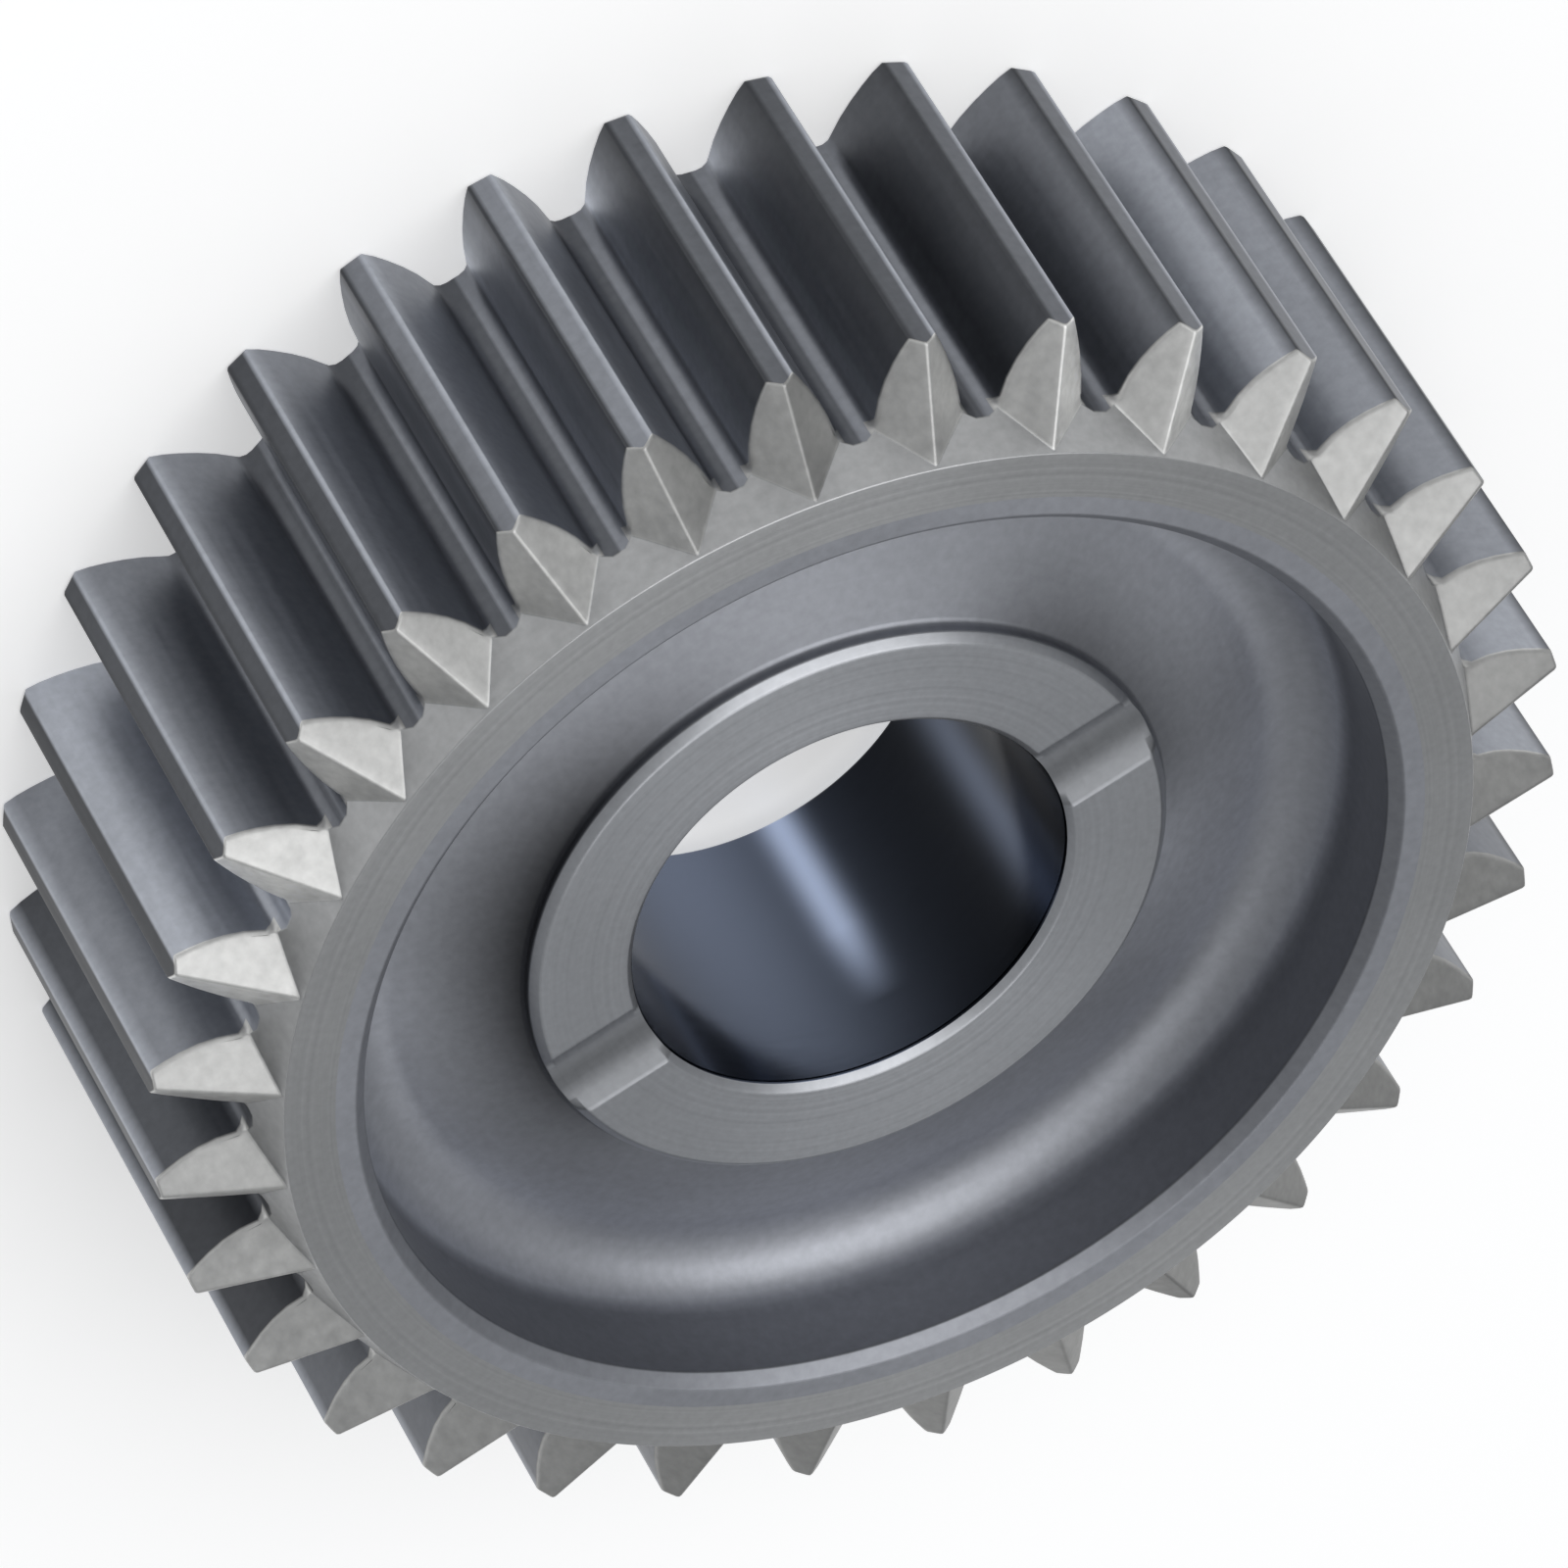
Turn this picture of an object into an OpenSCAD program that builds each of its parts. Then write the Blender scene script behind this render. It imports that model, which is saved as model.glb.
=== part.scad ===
// Straight-cut transmission gear, turned and cut from one piece of steel.
// The bore axis is Z, the gear lies on the back face of its rim at z = 0, and
// the pointed tooth ends, the deep recess and the oil slots are on top.
// A tooth space is centred on +X, in line with the oil slots.

/* [Teeth] */
// Number of teeth
tooth_count = 32; // [30:1:40]
// Module, which is the pitch diameter over the number of teeth
gear_module = 4; // [3.75:0.05:4.5]
// Pressure angle in degrees
pressure_angle = 22.5; // [20:0.5:25]
// Tooth height above the pitch circle, in modules
addendum_modules = 1; // [0.9:0.05:1.05]
// Tooth depth below the pitch circle, in modules
dedendum_modules = 1.25; // [1.15:0.05:1.3]
// Radius of the fillet at the foot of each flank
root_fillet = 1.2; // [0.8:0.1:1.4]
// How much each tooth is thinned at the pitch circle for running clearance
tooth_thinning = 0.12; // [0:0.02:0.3]

/* [Pointed tooth ends] */
// How far the ridge of a tooth end falls from its foot to the tip
point_drop = 4.4; // [3:0.2:6]
// Angle by which the two facets of a tooth end fall away to the flanks
point_side_angle = 40; // [30:1:48]
// Step from the rim face down to the start of the ridge
point_step = 0.2; // [0.15:0.05:0.5]
// Width of the steep bevel round the rim's front edge, inside the tooth roots
edge_bevel = 1.6; // [1.2:0.1:2.2]
// Angle of that bevel below the rim's face
edge_bevel_angle = 68; // [60:1:72]

/* [Rim] */
// Width of the rim and the teeth
face_width = 43; // [38:1:52]
// Wall of the rim between the tooth roots and the recess
rim_wall = 9.6; // [8:0.2:11]
// Chamfer on the inner edge of the rim's faces
rim_chamfer = 1.2; // [0.6:0.1:2]
// Chamfer on the tips at the back of the gear
tip_chamfer = 0.5; // [0.2:0.1:1]

/* [Hub] */
// Diameter of the ground bore
bore_d = 42; // [36:0.5:48]
// Outside diameter of the hub
hub_d = 62; // [56:0.5:66]
// How far the front of the hub lies below the rim's front face
hub_drop_front = 7.6; // [5:0.2:10]
// How far the back of the hub lies within the rim's back face
hub_drop_back = 1.8; // [1:0.2:4]
// Chamfer on both edges of the bore
bore_chamfer = 0.8; // [0.4:0.1:1.2]
// Chamfer on the outer edges of the hub
hub_chamfer = 0.9; // [0.4:0.1:1.2]

/* [Web] */
// Height of the hub's step above the web beside it
hub_step = 2.2; // [1.8:0.1:3]
// How much lower each side of the web lies at its outer edge than at the hub
web_fall = 3.8; // [2:0.2:5]
// Fillet between the web and the rim, in the front recess
front_fillet = 5.5; // [4:0.5:8]
// Fillet between the web and the rim, in the back recess
back_fillet = 3.5; // [2:0.5:4]
// Fillet between the web and the foot of the hub
foot_fillet = 0.8; // [0.4:0.1:0.9]

/* [Oil slots] */
// Width of each oil slot across the hub's front face
slot_w = 8.5; // [6:0.5:11]
// Depth of the oil slots in the middle
slot_depth = 1.1; // [0.6:0.1:1.2]

/* [Hidden] */

$fn = 144;
eps = 0.01;
flank_steps = 7;
fillet_steps = 4;
arc_steps = 10;
tip_overrun = 1;
cut_overrun = 2;
sector_lap = 0.2;

pitch_r = gear_module * tooth_count / 2;
tip_r = pitch_r + addendum_modules * gear_module;
root_r = pitch_r - dedendum_modules * gear_module;
base_r = pitch_r * cos(pressure_angle);
pitch_angle = 360 / tooth_count;
half_pitch = pitch_angle / 2;

bore_r = bore_d / 2;
hub_r = hub_d / 2;
recess_r = root_r - rim_wall;
hub_front = face_width - hub_drop_front;
hub_back = hub_drop_back;
bevel_r = root_r - edge_bevel;
ridge_angle = atan2(point_drop - point_step, tip_r - bevel_r);

// Involute function of a pressure angle, in degrees
function involute(a) = tan(a) * 180 / PI - a;

// Pressure angle where the flank crosses radius r, or zero inside the base circle
function angle_at(r) = r > base_r ? acos(base_r / r) : 0;

// Half of the angle that a tooth takes up at radius r
function half_tooth(r) =
    90 / tooth_count - tooth_thinning / 2 / pitch_r * 180 / PI
    + involute(pressure_angle) - involute(angle_at(r));

function polar(r, a) = [r * cos(a), r * sin(a)];

// Arc about c from angle a0 to a1, ends included
function arc(c, r, a0, a1, steps) =
    [for (i = [0 : steps]) c + polar(r, a0 + (a1 - a0) * i / steps)];

// One side of a tooth from above its tip to the root, on the side of growing angle
fillet_seat_r = root_r + root_fillet;
fillet_a = half_tooth(fillet_seat_r) + asin(root_fillet / fillet_seat_r);
flank_top_r = tip_r + tip_overrun;
tooth_side = concat(
    [for (i = [0 : flank_steps])
        let (r = flank_top_r + (fillet_seat_r - flank_top_r) * i / flank_steps)
        polar(r, half_tooth(r))],
    [for (p = arc(polar(fillet_seat_r, fillet_a), root_fillet,
                  fillet_a - 90, fillet_a - 180, fillet_steps)) p]);

function turned(points, a) =
    [for (p = points) [p.x * cos(a) - p.y * sin(a), p.x * sin(a) + p.y * cos(a)]];

function mirrored(points) =
    [for (i = [len(points) - 1 : -1 : 0]) [points[i].x, -points[i].y]];

// Outline of all the teeth, whose tips the turned blank then cuts to length
module tooth_outline() {
    tooth = concat(mirrored(tooth_side), tooth_side);
    polygon([for (i = [0 : tooth_count - 1]) each turned(tooth, (i + 0.5) * pitch_angle)]);
}

// Section of one recess from the hub's face out to the rim's face, seen as if it
// opened upwards: the hub's face is at height 0 and the rim's face at height drop.
// The web is the straight line that touches the fillets at both of its ends.
function recess_section(drop, fillet) =
    let (web_z = -hub_step - web_fall,
         r = min(fillet, drop - web_z - rim_chamfer - eps, recess_r - hub_r - 2 * foot_fillet),
         foot_c = [hub_r + foot_fillet, foot_fillet - hub_step],
         wall_c = [recess_r - r, web_z + r],
         span = wall_c - foot_c,
         web_angle = asin((r - foot_fillet) / norm(span)) - atan2(span.y, span.x))
    concat(
        [[hub_r - hub_chamfer, 0], [hub_r, -hub_chamfer]],
        arc(foot_c, foot_fillet, 180, 270 - web_angle, fillet_steps),
        arc(wall_c, r, 270 - web_angle, 360, arc_steps),
        [[recess_r, drop - rim_chamfer], [recess_r + rim_chamfer, drop]]);

// Half section of the turned blank
module blank_section() {
    front = recess_section(hub_drop_front, front_fillet);
    back = recess_section(hub_drop_back, back_fillet);
    polygon(concat(
        [[bore_r, hub_back + bore_chamfer], [bore_r, hub_front - bore_chamfer],
         [bore_r + bore_chamfer, hub_front]],
        [for (p = front) [p.x, hub_front + p.y]],
        [[tip_r, face_width], [tip_r, tip_chamfer], [tip_r - tip_chamfer, 0]],
        [for (i = [len(back) - 1 : -1 : 0]) [back[i].x, hub_back - back[i].y]],
        [[bore_r + bore_chamfer, hub_back]]));
}

// What is cut away over the end of the tooth on the X axis: all that lies above its
// ridge and two facets, from the middle of one tooth space to the middle of the next
module point_cutter() {
    side = pitch_r * sin(half_pitch) + cut_overrun;
    facet_fall = side * tan(point_side_angle);
    length = tip_r - bevel_r + 2 * cut_overrun;
    height = point_drop + cut_overrun;
    intersection() {
        translate([bevel_r, 0, face_width - point_step])
            rotate([0, ridge_angle, 0])
                rotate([90, 0, 90])
                    translate([0, 0, -cut_overrun])
                        linear_extrude(length)
                            polygon([[0, 0], [side, -facet_fall], [side, height],
                                     [-side, height], [-side, -facet_fall]]);
        translate([0, 0, face_width - height - facet_fall])
            linear_extrude(2 * height + facet_fall)
                polygon([[0, 0], polar(tip_r + cut_overrun, -half_pitch - sector_lap),
                         polar(tip_r + cut_overrun, half_pitch + sector_lap)]);
    }
}

// Body of the rim inside its bevelled front edge, which the tooth ends run out into
module rim_core() {
    depth = (tip_r - bevel_r) * tan(edge_bevel_angle);
    rotate_extrude()
        polygon([[0, face_width - depth], [tip_r, face_width - depth],
                 [bevel_r, face_width], [bevel_r, face_width + depth], [0, face_width + depth]]);
}

// Shallow round-bottomed slot right across the hub's front face
module oil_slots() {
    slot_r = (pow(slot_w / 2, 2) + pow(slot_depth, 2)) / (2 * slot_depth);
    translate([0, 0, hub_front - slot_depth + slot_r])
        rotate([0, 90, 0])
            cylinder(r = slot_r, h = hub_d + foot_fillet, center = true);
}

module transmission_gear() {
    color("#7d8084")
        difference() {
            intersection() {
                rotate_extrude() blank_section();
                translate([0, 0, -eps])
                    linear_extrude(face_width + 2 * eps) tooth_outline();
            }
            difference() {
                for (i = [0 : tooth_count - 1])
                    rotate([0, 0, (i + 0.5) * pitch_angle]) point_cutter();
                rim_core();
            }
            oil_slots();
        }
}

transmission_gear();
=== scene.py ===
"""Studio scene of a straight-cut transmission gear, lying on its back face.

The gear is one closed surface, worked out in millimetres as rings of points that
run from the bore over the front face, the pointed tooth ends and the flanks to
the back face and home into the bore. It stands for the CAD solid of the same size.
"""
import math
import bpy
import numpy as np
from mathutils import Matrix, Vector


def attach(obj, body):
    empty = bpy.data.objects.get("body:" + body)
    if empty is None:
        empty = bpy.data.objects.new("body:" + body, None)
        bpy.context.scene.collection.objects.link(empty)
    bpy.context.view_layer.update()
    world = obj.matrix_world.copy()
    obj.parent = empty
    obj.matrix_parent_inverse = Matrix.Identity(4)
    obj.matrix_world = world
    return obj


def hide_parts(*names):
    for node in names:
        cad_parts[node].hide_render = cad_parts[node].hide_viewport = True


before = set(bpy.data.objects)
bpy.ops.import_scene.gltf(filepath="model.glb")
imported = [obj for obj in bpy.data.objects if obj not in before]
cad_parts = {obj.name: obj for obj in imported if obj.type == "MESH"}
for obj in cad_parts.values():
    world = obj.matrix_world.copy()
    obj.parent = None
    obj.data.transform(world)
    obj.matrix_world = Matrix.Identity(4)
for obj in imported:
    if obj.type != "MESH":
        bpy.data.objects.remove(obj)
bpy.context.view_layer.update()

MM = 0.001

# Sizes of the gear in millimetres, as in the solid
TEETH = 32
MODULE = 4.0
PRESSURE_ANGLE = math.radians(22.5)
PITCH_R = MODULE * TEETH / 2
TIP_R = PITCH_R + MODULE
ROOT_R = PITCH_R - 1.25 * MODULE
BASE_R = PITCH_R * math.cos(PRESSURE_ANGLE)
THINNING = 0.12
ROOT_FILLET = 1.2
FACE_W = 43.0
PITCH = 2 * math.pi / TEETH

POINT_DROP = 4.4
POINT_STEP = 0.2
POINT_SIDE = math.radians(40.0)
BEVEL_R = ROOT_R - 1.6
BEVEL_ANGLE = math.radians(68.0)

RECESS_R = ROOT_R - 9.6
RIM_CHAMFER = 1.2
BORE_R = 21.0
BORE_CHAMFER = 0.8
HUB_R = 31.0
HUB_CHAMFER = 0.9
HUB_FRONT = FACE_W - 7.6
HUB_BACK = 1.8
HUB_STEP = 2.2
WEB_FALL = 3.8
FRONT_FILLET = 5.5
BACK_FILLET = 3.5
FOOT_FILLET = 0.8
SLOT_W = 8.5
SLOT_DEPTH = 1.1

# Roundings of the edges in millimetres, too small for the solid
CREST_ROUND = 0.3
RIDGE_ROUND = 0.14
POINT_ROUND = 0.28
NOTCH_ROUND = 0.18
LIP_ROUND = 0.12
EDGE_ROUND = 0.2
CHAMFER_ROUND = 0.22


def involute(a):
    """Involute function: tan(a) - a."""
    return np.tan(a) - a


def half_tooth(r):
    """Half of the angle that a tooth takes up at radius r: a quarter of the pitch less
    the thinning, plus inv(pressure angle) - inv(acos(base radius / r))."""
    at_r = np.arccos(np.clip(BASE_R / np.asarray(r, float), -1, 1))
    return PITCH / 4 - THINNING / 2 / PITCH_R + involute(PRESSURE_ANGLE) - involute(at_r)


def polar(r, a):
    """Points (r cos a, r sin a)."""
    return np.stack([r * np.cos(a), r * np.sin(a)], -1)


def half_outline():
    """Half of one tooth from its centreline to the middle of the next space, as points
    and outward normals: the tip circle, the arc of the rounded crest, the involute flank
    whose normal leans out by acos(base radius / r), the root fillet's arc and the root
    circle. Also the angle at which the tip circle ends."""
    crest_r = TIP_R - 0.55 * CREST_ROUND
    crest_a = half_tooth(crest_r)
    lean = math.acos(BASE_R / crest_r)
    normal_a = crest_a + math.pi / 2 - lean
    centre = polar(crest_r, crest_a) - CREST_ROUND * polar(1.0, normal_a)
    land_end = math.atan2(centre[1], centre[0])
    centre = polar(TIP_R - CREST_ROUND, land_end)
    land_a = land_end * np.array([0.0, 0.22, 0.6])
    land = polar(TIP_R, land_a)
    land_n = polar(1.0, land_a)
    turn = np.linspace(land_end, normal_a, 3)
    arc_n = polar(1.0, turn)
    arc = centre + CREST_ROUND * arc_n
    seat_r = ROOT_R + ROOT_FILLET
    flank_r = crest_r + (seat_r - crest_r) * np.array([0.14, 0.32, 0.54, 0.77, 1.0])
    flank_a = half_tooth(flank_r)
    flank = polar(flank_r, flank_a)
    flank_n = polar(1.0, flank_a + math.pi / 2 - np.arccos(BASE_R / flank_r))
    seat_a = float(half_tooth(seat_r)) + math.asin(ROOT_FILLET / seat_r)
    bend = seat_a - math.pi / 2 - np.array([0.36, 0.68, 1.0]) * math.pi / 2
    fillet = polar(seat_r, seat_a) + ROOT_FILLET * polar(1.0, bend)
    fillet_n = -polar(1.0, bend)
    root_a = seat_a + (PITCH / 2 - seat_a) * np.array([0.5, 1.0])
    root = polar(ROOT_R, root_a)
    root_n = polar(1.0, root_a)
    points = np.concatenate([land, arc, flank, fillet, root])
    normals = np.concatenate([land_n, arc_n, flank_n, fillet_n, root_n])
    return points, normals, land_end


def gear_outline():
    """Outline of all the teeth as points, outward normals and each column's tooth angle:
    the half outline and its mirror image, turned to each tooth. A space is centred on +X.
    Each point of the outline is one column of the gear's grid."""
    half, half_n, land_end = half_outline()
    flip = np.array([1.0, -1.0])
    points = np.concatenate([half[:0:-1] * flip, half[:-1]])
    normals = np.concatenate([half_n[:0:-1] * flip, half_n[:-1]])
    centres = (np.arange(TEETH) + 0.5) * PITCH
    turn = np.stack([np.stack([np.cos(centres), -np.sin(centres)], -1),
                     np.stack([np.sin(centres), np.cos(centres)], -1)], 1)
    around = np.einsum("tij,pj->tpi", turn, points).reshape(-1, 2)
    around_n = np.einsum("tij,pj->tpi", turn, normals).reshape(-1, 2)
    return around, around_n, np.repeat(centres, len(points)), land_end


OUT, OUT_N, CENTRE, LAND_END = gear_outline()
RHO = np.hypot(OUT[:, 0], OUT[:, 1])
THETA = np.unwrap(np.arctan2(OUT[:, 1], OUT[:, 0]))
LOCAL = THETA - CENTRE
IN_SPACE = RHO < ROOT_R + 0.3


def roof_height(plan):
    """Height of a pointed tooth end over plan points: it falls along the ridge by
    a (x - bevel radius) and to each side by b sqrt(y^2 + rounding^2), in the tooth's axes."""
    x = plan[:, 0] * np.cos(CENTRE) + plan[:, 1] * np.sin(CENTRE)
    y = plan[:, 1] * np.cos(CENTRE) - plan[:, 0] * np.sin(CENTRE)
    along = (POINT_DROP - POINT_STEP) / (TIP_R - BEVEL_R)
    aside = math.tan(POINT_SIDE) * math.hypot(1.0, along)
    off_ridge = np.sqrt(y * y + RIDGE_ROUND * RIDGE_ROUND)
    return FACE_W - POINT_STEP - along * (x - BEVEL_R) - aside * off_ridge


def notch_radius(rounds=8):
    """Radius at which each column's tooth end runs out into the steep bevel, and nowhere past
    the outline: a few rounds of r = bevel radius + (face width - roof height) / bevel slope."""
    r = np.full_like(RHO, BEVEL_R)
    for _ in range(rounds):
        r = BEVEL_R + (FACE_W - roof_height(polar(r, THETA))) / math.tan(BEVEL_ANGLE)
    return np.minimum(r, RHO)


def ring(plan, z):
    """One ring: plan points (x, y) at heights z."""
    return np.column_stack([plan, np.broadcast_to(z, len(plan))])


def eased(points, size, steps=2):
    """A polyline with each inner corner rounded: a quadratic arc from size before the
    corner to size after it, in steps pieces."""
    points = np.asarray(points, float)
    sizes = np.broadcast_to(np.asarray(size, float), len(points))
    out = [points[:1]]
    u = np.linspace(0, 1, steps + 1)[:, None]
    for before, corner, after, s in zip(points, points[1:], points[2:], sizes[1:]):
        a = corner + (before - corner) / np.linalg.norm(before - corner) * s
        b = corner + (after - corner) / np.linalg.norm(after - corner) * s
        out.append((1 - u) ** 2 * a + 2 * u * (1 - u) * corner + u ** 2 * b)
    out.append(points[-1:])
    return np.concatenate(out)


def recess_profile(drop, fillet, bend_steps):
    """Section of a recess as (r, height over the hub's face), from the hub's chamfer to the
    rim's: two arcs, at the hub's foot and at the rim, and the line that touches both."""
    web_z = -HUB_STEP - WEB_FALL
    foot = np.array([HUB_R + FOOT_FILLET, FOOT_FILLET - HUB_STEP])
    wall = np.array([RECESS_R - fillet, web_z + fillet])
    span = wall - foot
    web = math.asin((fillet - FOOT_FILLET) / np.hypot(*span)) - math.atan2(span[1], span[0])
    foot_a = np.linspace(math.pi, 1.5 * math.pi - web, 4)
    wall_a = np.linspace(1.5 * math.pi - web, 2 * math.pi, bend_steps)
    top = eased([[HUB_R - 3.0, 0], [HUB_R - HUB_CHAMFER, 0], [HUB_R, -HUB_CHAMFER],
                 [HUB_R, foot[1]]], CHAMFER_ROUND)[1:-1]
    edge = eased([[RECESS_R, wall[1]], [RECESS_R, drop - RIM_CHAMFER],
                  [RECESS_R + RIM_CHAMFER, drop], [RECESS_R + 5.0, drop]], EDGE_ROUND)[1:-1]
    return np.concatenate([top, foot + FOOT_FILLET * polar(1.0, foot_a),
                           wall + fillet * polar(1.0, wall_a), edge])


def hub_angles(r):
    """Column angles on a hub ring of radius r. Near each oil slot they are stretched, so
    that one column runs along each straight edge of the slot: angle asin(w / 2r)."""
    off = (THETA + math.pi / 2) % math.pi - math.pi / 2
    edge = math.asin(SLOT_W / 2 / HUB_R)
    edge = np.abs(off).flat[np.argmin(np.abs(np.abs(off) - edge))]
    want = math.asin(SLOT_W / 2 / r)
    reach = 3.5 * edge
    t = np.abs(off)
    inner = t * want / edge
    outer = want + (t - edge) * (reach - want) / (reach - edge)
    moved = np.where(t <= edge, inner, np.where(t < reach, outer, t))
    return THETA - off + np.sign(off) * moved


def slot_floor(plan):
    """Height of the oil slots' floor over plan points, a circular trough along X:
    hub face - depth + R - sqrt(R^2 - y^2), and far above the face beside the slots."""
    trough_r = ((SLOT_W / 2) ** 2 + SLOT_DEPTH ** 2) / (2 * SLOT_DEPTH)
    y = np.abs(plan[:, 1])
    inside = y < SLOT_W / 2
    rise = trough_r - np.sqrt(trough_r ** 2 - np.where(inside, y, 0) ** 2)
    return np.where(inside, HUB_FRONT - SLOT_DEPTH + rise, FACE_W)


def gear_rings():
    """All the rings in order, each with the name of its finish."""
    rings, finishes = [], []

    def add(finish, points):
        rings.append(points)
        finishes.append(finish)

    def add_round(finish, r, z):
        plan = polar(r, hub_angles(r)) if r <= HUB_R + 1e-6 else polar(r, THETA)
        if z > FACE_W / 2 and r <= HUB_R + 1e-6:
            z = np.minimum(z, slot_floor(plan))
        add(finish, ring(plan, z))

    # Bore and the front of the hub
    edge = eased([[BORE_R, HUB_FRONT - 6], [BORE_R, HUB_FRONT - BORE_CHAMFER],
                  [BORE_R + BORE_CHAMFER, HUB_FRONT], [HUB_R - 2, HUB_FRONT]], EDGE_ROUND)
    for r, z in edge[:-1]:
        add_round("bore" if r < BORE_R + 0.05 else "hub", r, z)
    for r in np.linspace(BORE_R + 2.2, HUB_R - 2.2, 4):
        add_round("hub", r, HUB_FRONT)
    front = recess_profile(FACE_W - HUB_FRONT, FRONT_FILLET, 13)
    for r, z in front:
        add_round("recess" if r > HUB_R - 0.05 else "hub", r, HUB_FRONT + z)
    for r in (RECESS_R + 3.2, BEVEL_R - 1.6):
        add_round("rim", r, FACE_W)

    # Steep bevel round the rim, with a small hollow where the pointed ends run out into it
    notch = notch_radius()
    out, down = math.cos(BEVEL_ANGLE), math.sin(BEVEL_ANGLE)
    foot_z = FACE_W - (notch - BEVEL_R) * math.tan(BEVEL_ANGLE)
    span = (notch - BEVEL_R) / out
    lip = np.minimum(LIP_ROUND, 0.4 * span)
    add("rim", ring(polar(BEVEL_R - lip, THETA), FACE_W))
    add("rim", ring(polar(BEVEL_R - 0.25 * lip * (1 - out), THETA), FACE_W - 0.25 * lip * down))
    add("bevel", ring(polar(BEVEL_R + lip * out, THETA), FACE_W - lip * down))
    tooth = np.clip((RHO - notch) / 0.9, 0, 1)
    hollow = np.minimum(NOTCH_ROUND, 0.4 * span)
    add("bevel", ring(polar(notch - hollow * out, THETA), foot_z + hollow * down))
    sag = 0.2 * hollow * (2 * tooth - 1)
    add("point", ring(polar(notch + 0.2 * hollow * tooth, THETA), foot_z + sag))
    start = polar(notch + 0.3 * tooth, THETA)
    add("point", ring(start, np.minimum(roof_height(start), foot_z + sag - 0.03)))

    # Pointed ends; in the spaces the same rings run down the root
    end = OUT - POINT_ROUND * tooth[:, None] * OUT_N
    space = 1 - tooth
    for share in (0.3, 0.65, 1.0):
        plan = start + (end - start) * share
        add("point", ring(plan, roof_height(plan) - 0.6 * share * space))
    plan = OUT - 0.3 * POINT_ROUND * tooth[:, None] * OUT_N
    add("point", ring(plan, roof_height(plan) - 0.25 * POINT_ROUND - 0.8 * space))
    add("flank", ring(OUT, roof_height(OUT) - 0.8 * POINT_ROUND - space))

    # Flanks, with the broken edges at the back
    crown = np.clip((RHO - TIP_R + 0.6) / 0.5, 0, 1)
    back = 0.3 + 0.2 * crown
    add("flank", ring(OUT, back))
    add("flank", ring(OUT - 0.3 * back[:, None] * OUT_N, 0.3 * back))
    add("rim", ring(OUT - back[:, None] * OUT_N, 0.0))
    for r in (ROOT_R - 1.2, RECESS_R + 3.2):
        add_round("rim", r, 0.0)

    # Back recess, the back of the hub and the bore
    rear = recess_profile(HUB_BACK, BACK_FILLET, 7)
    for r, z in rear[::-1]:
        add_round("recess" if r > HUB_R - 0.05 else "hub", r, HUB_BACK - z)
    add_round("hub", (HUB_R + BORE_R) / 2, HUB_BACK)
    edge = eased([[HUB_R - 2, HUB_BACK], [BORE_R + BORE_CHAMFER, HUB_BACK],
                  [BORE_R, HUB_BACK + BORE_CHAMFER], [BORE_R, HUB_BACK + 6]], EDGE_ROUND)
    for r, z in edge[1:]:
        add_round("bore", r, z)
    return np.array(rings), finishes


def bells(base, *terms):
    """base plus a sum of bells round the gear at each column: each term is a gain, a middle
    and a half width in degrees, and adds gain exp(-((angle - middle) / half width)^4)."""
    total = np.full_like(THETA, base)
    for gain, middle, half_width in terms:
        off = (np.degrees(THETA) - middle + 180) % 360 - 180
        total = total + gain * np.exp(-(off / half_width) ** 4)
    return total


def smooth_step(x):
    """Smooth rise from 0 at x = 0 to 1 at x = 1: 3 x^2 - 2 x^3."""
    x = np.clip(x, 0, 1)
    return x * x * (3 - 2 * x)


def painted_tooth_shading():
    """Painted light and shade on the teeth at each column, a sum of bells round the
    gear for each face: the flank ahead of the tooth's middle and the one behind it, counted
    anticlockwise, the crest's land and the root. The flank ahead is painted lighter towards its
    foot, by the square of the depth. The crest's edge behind has a painted highlight and the one
    ahead painted shade, each with the fall-off exp(-((r - tip radius) / rounding)^2)."""
    depth = np.clip((TIP_R - RHO) / (TIP_R - ROOT_R), 0, 1)
    ahead = bells(0.5, (0.35, -152, 8), (0.4, 163, 13), (0.15, 190, 16))
    # Painted shade on the flanks ahead round -118 degrees
    ahead = ahead * bells(1.0, (-0.62, -118, 20))
    ahead = ahead + depth ** 2 * bells(0.0, (0.6, -82, 12), (1.8, -104, 14), (0.2, -129, 12))
    behind = bells(0.5, (0.15, -73, 34), (0.55, -39, 8), (-0.36, -5, 19), (-0.17, 34, 20))
    land = bells(0.2, (0.22, -170, 50), (0.38, -94, 12), (-0.07, -34, 12))
    root = bells(0.42, (0.45, -42, 11), (-0.22, -5, 19))
    # The root has a painted highlight on the side ahead and painted shade on the side behind,
    # round -95 degrees
    root = root * (1 + np.where(LOCAL > 0, 0.35, -0.35) * bells(0.0, (1.0, -95, 42)))
    painted_shading = np.where(LOCAL > 0, ahead, behind)
    painted_shading = painted_shading + (root - painted_shading) * smooth_step(ROOT_R + 1.3 - RHO)
    # Painted highlight on the crest's edge behind, painted shade on the edge ahead
    edge = np.exp(-((RHO - TIP_R) / CREST_ROUND) ** 2)
    painted_shading = painted_shading + (np.where(LOCAL > 0, 0.14, 0.95) - painted_shading) * edge
    return np.where(np.abs(LOCAL) < 0.99 * LAND_END, land, painted_shading)


def painted_end_shading():
    """Painted light and shade on the pointed tooth ends at each column: a sum of bells for both
    facets and one more for the facet ahead of the tooth's middle or for the one behind it."""
    both = bells(1.0, (-0.45, 90, 62), (-0.25, 174, 34))
    ahead = bells(0.0, (0.45, -44, 12))
    behind = bells(0.0, (0.45, -135, 12), (-0.35, -104, 9), (-0.2, 97, 9))
    return both + np.where(LOCAL > 0, ahead, behind)


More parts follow.
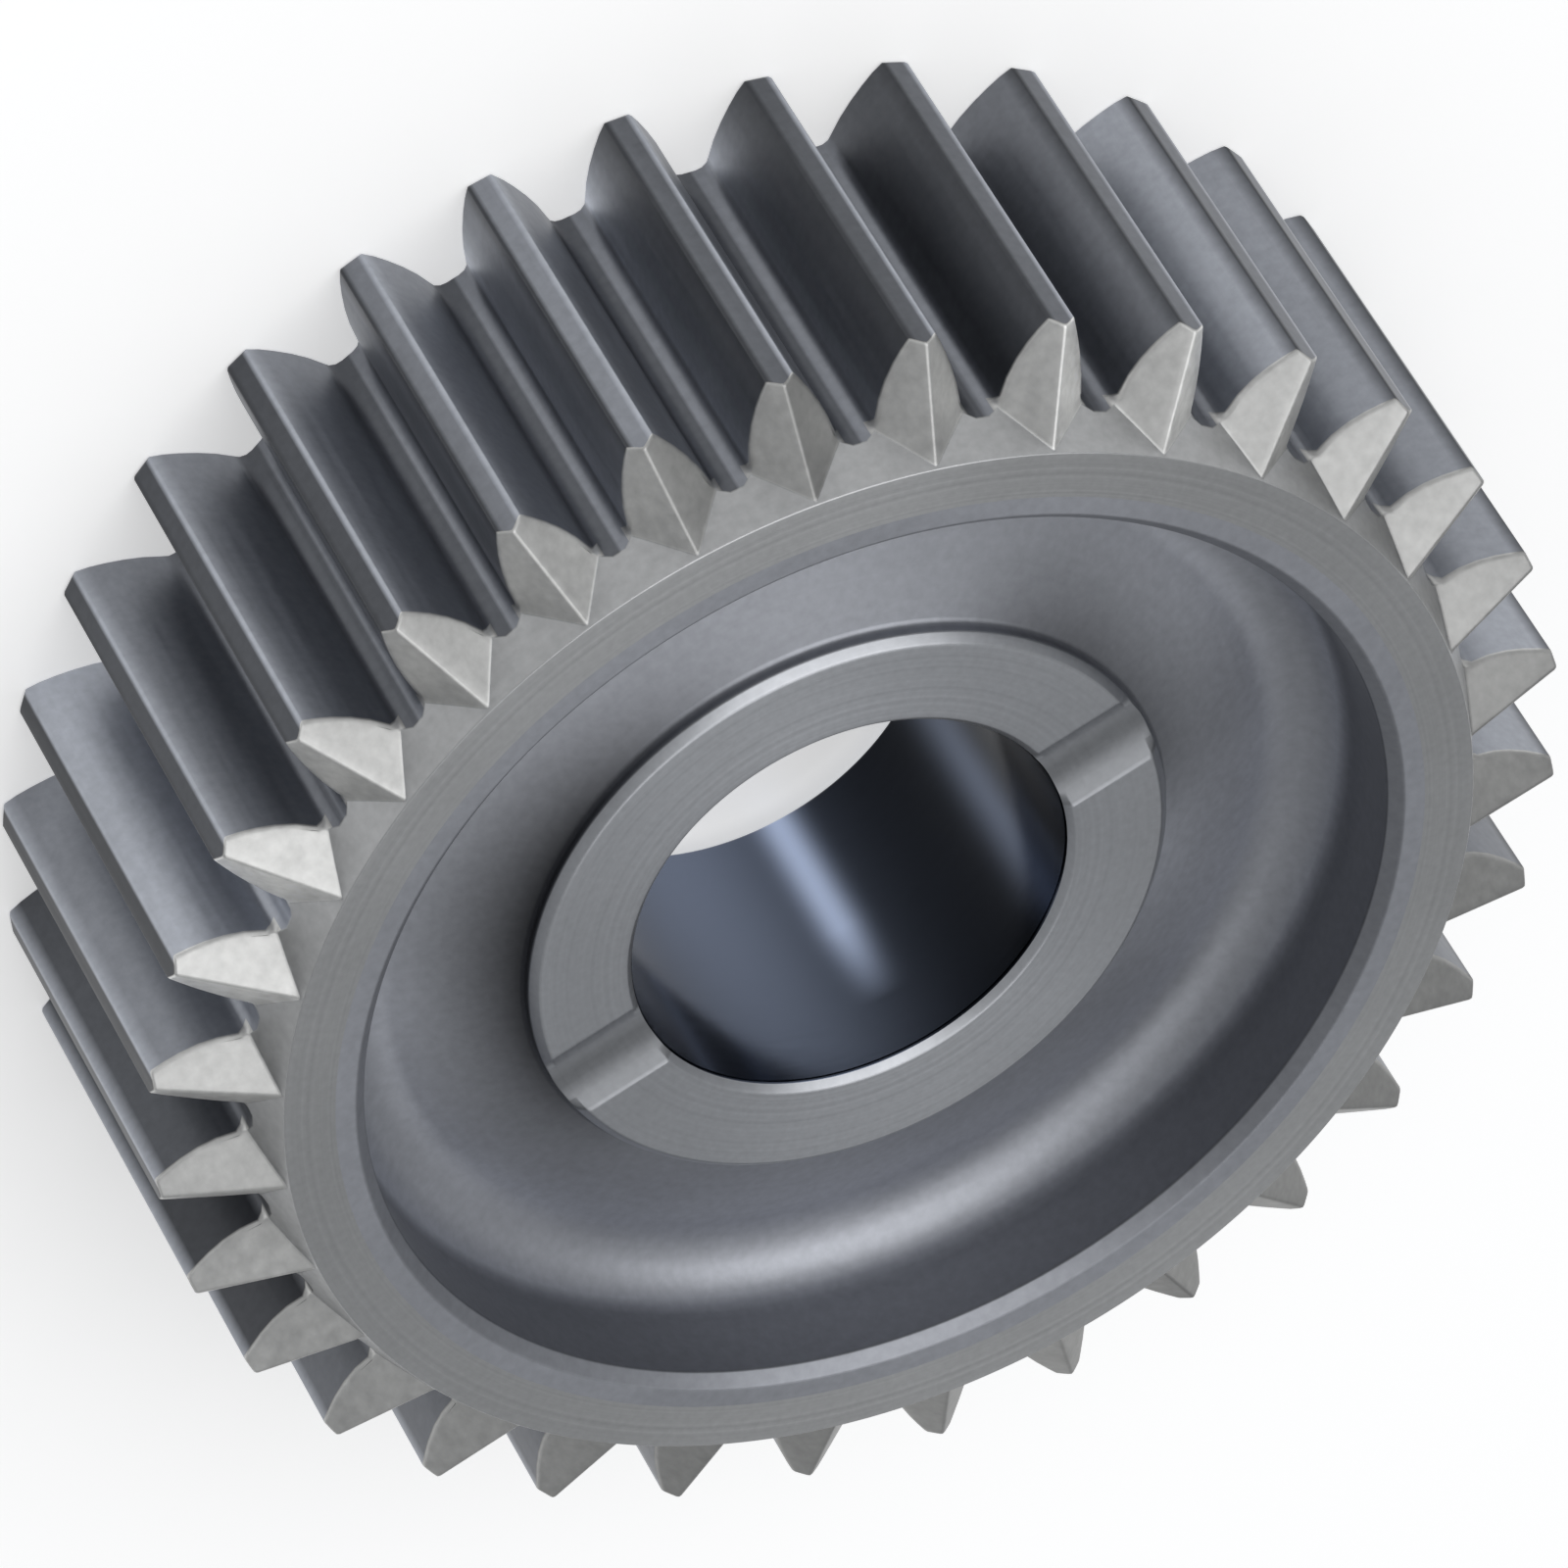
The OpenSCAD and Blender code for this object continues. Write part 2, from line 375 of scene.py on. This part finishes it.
def painted_recess_shading(r):
    """Painted light and shade in the front recess at radius r: a gain for the web, another for
    the fillet, a painted shadow beside the hub's foot that thins by exp(-((r - foot) / reach)^2),
    painted shade on the wall and lighter painted shade on the chamfer over it."""
    fillet_end = RECESS_R - 3.9
    hub_shadow_reach = 3.3
    wall_blend = 0.7
    web = bells(1.0, (0.5, 5, 32), (0.5, 162, 42), (-0.17, -105, 28))
    fillet = bells(1.0, (-0.2, 125, 58))
    painted_shading = fillet + (web - fillet) * smooth_step((fillet_end - r) / 3)
    # Painted shadow beside the hub's foot, strongest round -30 and 188 degrees
    painted_hub_shadow = bells(0.0, (0.88, -30, 58), (0.65, 188, 33))
    painted_shading = painted_shading * (1 - painted_hub_shadow * np.exp(-((r - HUB_R - 1) / hub_shadow_reach) ** 2))
    # Painted shade on the recess wall, and a lighter painted shade over the rim's chamfer
    wall = 0.54 * smooth_step((r - RECESS_R + wall_blend) / wall_blend)
    return painted_shading * (1 - np.where(r > RECESS_R + 0.1, 0.2, wall))


def painted_surface_shading(rings, ring_finish):
    """Painted light and shade on the steel at each point of each ring: the painted shading of the
    flanks, the tooth ends and the front recess, two dark places on the bevel, and painted shade
    on the +Y side of the oil slots."""
    painted_shading = np.ones(rings.shape[:2])
    r = np.hypot(rings[..., 0], rings[..., 1])
    kind = np.array(ring_finish)
    painted_shading[kind == "flank"] = painted_tooth_shading()
    painted_shading[kind == "point"] = np.where(IN_SPACE, painted_tooth_shading(), painted_end_shading())
    painted_shading[kind == "bevel"] = bells(1.0, (-0.25, -34, 16), (-0.3, 192, 16))
    recess = (kind == "recess")[:, None] & (r < RECESS_R + 1.3)
    painted_shading = np.where(recess, painted_recess_shading(r), painted_shading)
    # Painted shade in the oil slots, darker on their +Y side
    slot = (kind == "hub")[:, None] & (np.abs(rings[..., 1]) < SLOT_W / 2 - 0.1)
    slot = slot & (rings[..., 2] > FACE_W / 2)
    return np.where(slot, 0.62 + 0.4 * smooth_step(-rings[..., 1] / 3), painted_shading)


def finish_of_faces(ring_finish, order):
    """Index into order of each face's finish: its ring's, but in the spaces between the teeth
    the rings of the pointed ends run down the root and have the flanks' finish."""
    index = np.array([order.index(f) for f in ring_finish])[:, None] + np.zeros(len(RHO), int)
    in_root = (index == order.index("point")) & (IN_SPACE & np.roll(IN_SPACE, -1))
    return np.where(in_root, order.index("flank"), index)


def closed_mesh(name, rings, material_index, painted_shading):
    """Mesh of a grid that closes both ways. Each normal is the sum of the neighbouring
    faces' cross products, so that broad faces stay flat beside their rounded edges."""
    count, columns = rings.shape[:2]
    k, m = np.meshgrid(np.arange(count), np.arange(columns), indexing="ij")
    k1 = (k + 1) % count
    m1 = (m + 1) % columns
    quads = np.stack([k * columns + m, k * columns + m1, k1 * columns + m1, k1 * columns + m], -1)
    quads = quads.reshape(-1, 4)
    points = rings.reshape(-1, 3)
    corner = points[quads]
    area = np.cross(corner[:, 2] - corner[:, 0], corner[:, 3] - corner[:, 1])
    if np.einsum("ij,ij->", corner.mean(1), area) < 0:
        quads = quads[:, ::-1]
        area = -area
    normals = np.zeros_like(points)
    for side in range(4):
        np.add.at(normals, quads[:, side], area)
    normals /= np.linalg.norm(normals, axis=1)[:, None]
    mesh = bpy.data.meshes.new(name)
    mesh.vertices.add(len(points))
    mesh.vertices.foreach_set("co", (points * MM).astype(np.float32).ravel())
    mesh.loops.add(quads.size)
    mesh.loops.foreach_set("vertex_index", quads.astype(np.int32).ravel())
    mesh.polygons.add(len(quads))
    mesh.polygons.foreach_set("loop_start", np.arange(0, quads.size, 4, dtype=np.int32))
    mesh.polygons.foreach_set("material_index", material_index.astype(np.int32).ravel())
    mesh.polygons.foreach_set("use_smooth", np.ones(len(quads), bool))
    mesh.update(calc_edges=True)
    mesh.validate()
    mesh.normals_split_custom_set_from_vertices(normals.astype(np.float32))
    # Layer of painted light and shade at each point, which every finish multiplies into its tint
    layer = mesh.attributes.new("painted_shading", "FLOAT", "POINT")
    layer.data.foreach_set("value", painted_shading.astype(np.float32).ravel())
    volume = float(np.einsum("ij,ij->", corner.mean(1), area)) / 6
    print("gear surface:", count, "rings of", columns, "volume mm3", round(abs(volume)))
    return mesh


class Finish:
    """A steel finish built from noise in Object coordinates, in metres."""

    def __init__(self, name, tint, roughness, anisotropy=0.0):
        self.material = bpy.data.materials.new(name)
        self.material.use_nodes = True
        self.nodes = self.material.node_tree.nodes
        self.links = self.material.node_tree.links
        self.shader = self.nodes["Principled BSDF"]
        self.shader.inputs["Metallic"].default_value = 1.0
        self.shader.inputs["Anisotropic"].default_value = anisotropy
        self.shader.inputs["Anisotropic Rotation"].default_value = 0.25 if anisotropy else 0.0
        self.tint = tint
        self.roughness = roughness
        self.place = self.nodes.new("ShaderNodeTexCoord").outputs["Object"]
        if anisotropy:
            tangent = self.nodes.new("ShaderNodeTangent")
            tangent.direction_type = "RADIAL"
            tangent.axis = "Z"
            self.links.new(tangent.outputs[0], self.shader.inputs["Tangent"])

    def math(self, kind, *values):
        """A Math node over values, which are sockets or numbers."""
        node = self.nodes.new("ShaderNodeMath")
        node.operation = kind
        for i, value in enumerate(values):
            if isinstance(value, (int, float)):
                node.inputs[i].default_value = value
            else:
                self.links.new(value, node.inputs[i])
        return node.outputs[0]

    def radius(self):
        """Distance from the bore axis."""
        flat = self.nodes.new("ShaderNodeVectorMath")
        flat.operation = "MULTIPLY"
        flat.inputs[1].default_value = (1, 1, 0)
        self.links.new(self.place, flat.inputs[0])
        length = self.nodes.new("ShaderNodeVectorMath")
        length.operation = "LENGTH"
        self.links.new(flat.outputs[0], length.inputs[0])
        return length.outputs["Value"]

    def rings(self, per_mm, detail=3.0):
        """Turning marks: one-dimensional noise of the radius."""
        noise = self.nodes.new("ShaderNodeTexNoise")
        noise.noise_dimensions = "1D"
        noise.inputs["Scale"].default_value = per_mm * 1000
        noise.inputs["Detail"].default_value = detail
        self.links.new(self.radius(), noise.inputs["W"])
        return noise.outputs["Fac"]

    def grain(self, scale, detail=4.0):
        """Noise in space, with its scale per metre along X, Y and Z."""
        mapping = self.nodes.new("ShaderNodeMapping")
        mapping.inputs["Scale"].default_value = scale
        self.links.new(self.place, mapping.inputs["Vector"])
        noise = self.nodes.new("ShaderNodeTexNoise")
        noise.inputs["Scale"].default_value = 1.0
        noise.inputs["Detail"].default_value = detail
        self.links.new(mapping.outputs[0], noise.inputs["Vector"])
        return noise.outputs["Fac"]

    def around_one(self, field, spread):
        """1 + spread (2 field - 1)."""
        return self.math("MULTIPLY_ADD", field, 2 * spread, 1 - spread)

    def layer(self, name):
        """Values of one of the mesh's own layers."""
        node = self.nodes.new("ShaderNodeAttribute")
        node.attribute_name = name
        return node.outputs["Fac"]

    def split(self):
        """The three coordinates of a point."""
        node = self.nodes.new("ShaderNodeSeparateXYZ")
        self.links.new(self.place, node.inputs[0])
        return node.outputs

    def bell(self, field, middle, half_width):
        """exp(-((field - middle) / half width)^2)."""
        off = self.math("MULTIPLY", self.math("SUBTRACT", field, middle), 1 / half_width)
        return self.math("EXPONENT", self.math("MULTIPLY", self.math("MULTIPLY", off, off), -1.0))

    def finish(self, shade, rough_field, rough_spread, height=None, height_mm=0.0):
        """Tint times shade and the painted shading layer; roughness spread by a field; relief
        from height.
        """
        mix = self.nodes.new("ShaderNodeMix")
        mix.data_type = "RGBA"
        mix.blend_type = "MULTIPLY"
        mix.inputs["Factor"].default_value = 1.0
        mix.inputs["A"].default_value = (*self.tint, 1.0)
        self.links.new(self.math("MULTIPLY", shade, self.layer("painted_shading")), mix.inputs["B"])
        self.links.new(mix.outputs["Result"], self.shader.inputs["Base Color"])
        rough = self.math("MULTIPLY", self.around_one(rough_field, rough_spread), self.roughness)
        self.links.new(rough, self.shader.inputs["Roughness"])
        if height is not None:
            bump = self.nodes.new("ShaderNodeBump")
            bump.inputs["Strength"].default_value = 1.0
            bump.inputs["Distance"].default_value = height_mm * MM
            self.links.new(height, bump.inputs["Height"])
            self.links.new(bump.outputs[0], self.shader.inputs["Normal"])
        return self.material


def ground_face(name, tint, roughness):
    """Ground or finely turned face: rings about the axis, with faint oil clouds."""
    steel = Finish(name, tint, roughness, anisotropy=0.45)
    marks = steel.rings(2.2)
    cloud = steel.grain((55, 55, 55), 3.0)
    pores = steel.grain((1300, 1300, 1300), 2.0)
    shade = steel.math("MULTIPLY", steel.around_one(marks, 0.07), steel.around_one(cloud, 0.12))
    shade = steel.math("MULTIPLY", shade, steel.around_one(pores, 0.10))
    return steel.finish(shade, marks, 0.25, marks, 0.003)


def turned_recess(name, tint, roughness):
    """Turned and peened recess: a fine grain over what is left of the tool marks."""
    steel = Finish(name, tint, roughness, anisotropy=0.12)
    marks = steel.rings(1.1)
    cloud = steel.grain((40, 40, 40), 3.0)
    pores = steel.grain((1100, 1100, 1100), 3.0)
    shade = steel.math("MULTIPLY", steel.around_one(marks, 0.03), steel.around_one(cloud, 0.14))
    shade = steel.math("MULTIPLY", shade, steel.around_one(pores, 0.14))
    return steel.finish(shade, cloud, 0.15, pores, 0.012)


def cut_steel(name, tint, roughness, scale, relief):
    """Cut steel with streaks, noise drawn out along the tool's path, and a fine grain."""
    steel = Finish(name, tint, roughness)
    streaks = steel.grain(scale, 3.0)
    cloud = steel.grain((60, 60, 60), 3.0)
    pores = steel.grain((1100, 1100, 1100), 3.0)
    shade = steel.math("MULTIPLY", steel.around_one(streaks, 0.12), steel.around_one(cloud, 0.12))
    shade = steel.math("MULTIPLY", shade, steel.around_one(pores, 0.16))
    return steel.finish(shade, streaks, 0.25, streaks, relief)


def honed_bore_painted_reflections(name, tint, roughness, bands):
    """Honed bore, dark with painted shade, with painted reflections in bands along the axis. Each
    band has its angle and half width in degrees, its brightness over the dark base, and the
    height in millimetres above which it fades out over another 10 mm."""
    steel = Finish(name, tint, roughness)
    streaks = steel.grain((300, 300, 1500), 3.0)
    shade = steel.around_one(streaks, 0.12)
    x, y, z = steel.split()
    turn = steel.math("ARCTAN2", y, x)
    # Each band is a painted reflection added to the dark base
    for degrees, half_width, gain, top in bands:
        band = steel.bell(turn, math.radians(degrees), math.radians(half_width))
        fade = steel.math("MULTIPLY_ADD", z, -100.0, top * 0.1 + 1.0)
        fade = steel.math("MINIMUM", steel.math("MAXIMUM", fade, 0.0), 1.0)
        band = steel.math("MULTIPLY", steel.math("MULTIPLY", band, fade), gain)
        shade = steel.math("ADD", shade, band)
    return steel.finish(shade, streaks, 0.2, streaks, 0.003)


# Each finish: its name, tint and roughness, then the streaks per metre along X, Y and Z and
# their relief in millimetres, or the bore's bands of painted reflection
FINISHES = {
    "rim": ground_face("ground_rim_face", (0.553, 0.56, 0.568), 0.42),
    "bevel": cut_steel("turned_bevel", (0.50, 0.505, 0.51), 0.46, (400, 400, 1200), 0.006),
    "hub": ground_face("ground_hub_face", (0.545, 0.56, 0.59), 0.40),
    "recess": turned_recess("turned_recess", (0.485, 0.50, 0.545), 0.47),
    "point": cut_steel("cut_tooth_ends", (0.66, 0.66, 0.65), 0.50, (500, 500, 900), 0.006),
    "flank": cut_steel("ground_flanks", (0.41, 0.43, 0.475), 0.42, (1400, 1400, 60), 0.004),
    # The bore's very dark tint is painted shade
    "bore": honed_bore_painted_reflections("honed_bore_painted_reflections", (0.010, 0.0118, 0.016), 0.20,
                       ((83.5, 4.8, 42.0, 18.0), (54.0, 28.0, 15.0, 40.0),
                        (137.0, 7.0, 11.0, 40.0))),
}
names = list(FINISHES)
rings, ring_finish = gear_rings()
index = finish_of_faces(ring_finish, names)
gear_mesh = closed_mesh("gear_steel_body", rings, index, painted_surface_shading(rings, ring_finish))
gear = bpy.data.objects.new("gear_steel_body", gear_mesh)
bpy.context.scene.collection.objects.link(gear)
for material in FINISHES.values():
    gear.data.materials.append(material)
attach(gear, "root")
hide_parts("transmission_gear")
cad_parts["transmission_gear"].data.materials.clear()
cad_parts["transmission_gear"].data.materials.append(FINISHES["rim"])


def paper(name, colour, lift):
    """Matt white paper. Camera, glossy and transmission rays see it brighter by lift, so that
    it shows as white and still takes the gear's shadow; it lights the gear as plain paper."""
    material = bpy.data.materials.new(name)
    material.use_nodes = True
    nodes, links = material.node_tree.nodes, material.node_tree.links
    shader = nodes["Principled BSDF"]
    shader.inputs["Base Color"].default_value = (*colour, 1.0)
    shader.inputs["Roughness"].default_value = 0.9
    shader.inputs["Specular IOR Level"].default_value = 0.1
    shader.inputs["Emission Color"].default_value = (1.0, 1.0, 1.0, 1.0)
    path = nodes.new("ShaderNodeLightPath")
    seen = path.outputs["Is Camera Ray"]
    for kind in ("Is Glossy Ray", "Is Transmission Ray"):
        more = nodes.new("ShaderNodeMath")
        more.operation = "MAXIMUM"
        links.new(seen, more.inputs[0])
        links.new(path.outputs[kind], more.inputs[1])
        seen = more.outputs[0]
    gain = nodes.new("ShaderNodeMath")
    gain.operation = "MULTIPLY"
    gain.inputs[1].default_value = lift
    links.new(seen, gain.inputs[0])
    links.new(gain.outputs[0], shader.inputs["Emission Strength"])
    return material


def disc(name, radius, sides=128):
    """Flat disc of points radius (cos a, sin a) at the height of the gear's back face."""
    a = np.linspace(0, 2 * math.pi, sides, endpoint=False)
    mesh = bpy.data.meshes.new(name)
    plan = polar(radius, a)
    mesh.from_pydata(np.column_stack([plan, np.zeros(sides)]).tolist(), [], [list(range(sides))])
    return bpy.data.objects.new(name, mesh)


floor = disc("studio_floor", 6.0)
floor.data.materials.append(paper("studio_floor", (0.9, 0.9, 0.9), 0.42))
bpy.context.scene.collection.objects.link(floor)


def soft_light(name, azimuth, elevation, distance, size, power, colour):
    """Square soft lamp that looks at the gear from an azimuth and an elevation in degrees."""
    a, e = math.radians(azimuth), math.radians(elevation)
    spot = distance * Vector((math.cos(a) * math.cos(e), math.sin(a) * math.cos(e), math.sin(e)))
    lamp = bpy.data.lights.new(name, "AREA")
    lamp.shape = "RECTANGLE"
    lamp.size, lamp.size_y = size
    lamp.energy = power
    lamp.color = colour
    obj = bpy.data.objects.new(name, lamp)
    obj.location = spot
    obj.rotation_euler = (-spot).to_track_quat("-Z", "Y").to_euler()
    bpy.context.scene.collection.objects.link(obj)
    return obj


soft_light("key_lamp", -130, 55, 2.4, (2.6, 2.0), 22.0, (1.0, 1.0, 1.0))
soft_light("top_lamp", 60, 82, 2.4, (1.4, 1.4), 5.0, (1.0, 1.0, 1.0))

world = bpy.data.worlds.new("studio_air")
world.use_nodes = True
world.node_tree.nodes["Background"].inputs["Color"].default_value = (0.97, 0.985, 1.0, 1.0)
world.node_tree.nodes["Background"].inputs["Strength"].default_value = 0.34
bpy.context.scene.world = world

# Camera: its right, down and forward axes and its place over the bore axis
CAMERA_ROWS = np.array([[-0.8460394566, 0.3694034463, 0.3843934593],
                        [0.5328823065, 0.5644246716, 0.6304452692],
                        [0.0159275033, 0.7382180462, -0.6743741031]])
CAMERA_SHIFT = np.array([0.1090475, 0.19212211, 18.8832948])
FOCAL_PX = 14688.78
POINT_HEIGHT = FACE_W - POINT_DROP
place = -CAMERA_ROWS.T @ CAMERA_SHIFT * TIP_R + np.array([0, 0, POINT_HEIGHT])
right, down, forward = CAMERA_ROWS
pose = np.eye(4)
pose[:3, 0], pose[:3, 1], pose[:3, 2], pose[:3, 3] = right, -down, -forward, place * MM
view = bpy.data.cameras.new("photo_camera")
view.sensor_width = 36.0
view.lens = FOCAL_PX / 1600 * 36.0
view.clip_start = 0.05
view.clip_end = 50.0
camera = bpy.data.objects.new("photo_camera", view)
camera.matrix_world = Matrix(pose.tolist())
bpy.context.scene.collection.objects.link(camera)
bpy.context.scene.camera = camera
bpy.context.scene.view_settings.view_transform = "Standard"
